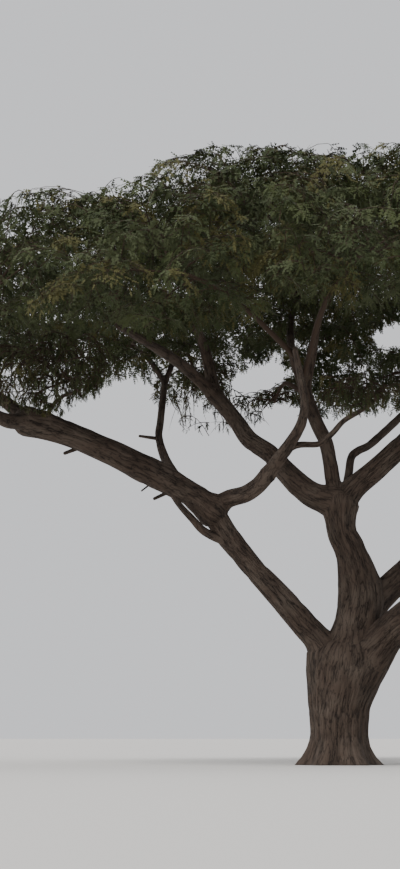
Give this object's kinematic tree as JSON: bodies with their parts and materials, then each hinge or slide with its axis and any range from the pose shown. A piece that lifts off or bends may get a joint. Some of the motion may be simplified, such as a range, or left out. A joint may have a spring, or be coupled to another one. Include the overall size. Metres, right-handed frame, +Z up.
{
  "type": "acacia tree",
  "caption": "Flat-topped acacia tree: a short forked trunk with wide spreading boughs under a broad umbrella of feathery foliage.",
  "frame": {"origin": "middle of the flat cut under the trunk, at ground level", "axes": "+Z up the tree, +X along the broad side of the crown from the pictured left to right, +Y away from the viewer"},
  "size_m": [13.401, 13.9984, 8.7935],
  "materials": {
    "bark": "rough",
    "foliage": "matte"
  },
  "bodies": {
    "root": {"trunk": "bark", "left_bough": "bark", "centre_stem": "bark", "right_bough": "bark", "low_right_bough": "bark", "outer_left_limb": "bark", "far_left_limb": "bark", "front_left_limb": "bark", "left_spur": "bark", "under_strip": "bark", "upright_limb": "bark", "upright_left_fork": "bark", "upright_right_fork": "bark", "crossing_limb": "bark", "rising_limb": "bark", "slender_limb": "bark", "upper_left_bough": "bark", "crown_left_limb": "bark", "low_left_limb": "bark", "centre_bough": "bark", "back_centre_limb": "bark", "top_centre_limb": "bark", "upper_right_bough": "bark", "crown_right_limb": "bark", "mid_right_limb": "bark", "slim_right_limb": "bark", "back_right_limb": "bark", "far_right_limb": "bark", "outer_right_limb": "bark", "front_right_limb": "bark", "hanging_left_mass": "foliage", "hanging_back_left_mass": "foliage", "hanging_centre_mass": "foliage", "hanging_front_right_mass": "foliage", "hanging_back_right_mass": "foliage", "hanging_right_mass": "foliage", "rim_mass_01": "foliage", "rim_mass_02": "foliage", "rim_mass_03": "foliage", "rim_mass_04": "foliage", "rim_mass_05": "foliage", "rim_mass_06": "foliage", "rim_mass_07": "foliage", "rim_mass_08": "foliage", "rim_mass_09": "foliage", "rim_mass_10": "foliage", "rim_mass_11": "foliage", "rim_mass_12": "foliage", "middle_mass_01": "foliage", "middle_mass_02": "foliage", "middle_mass_03": "foliage", "middle_mass_04": "foliage", "middle_mass_05": "foliage", "middle_mass_06": "foliage", "middle_mass_07": "foliage", "middle_mass_08": "foliage", "top_mass_01": "foliage", "top_mass_02": "foliage", "top_mass_03": "foliage"}
  },
  "joints": []
}
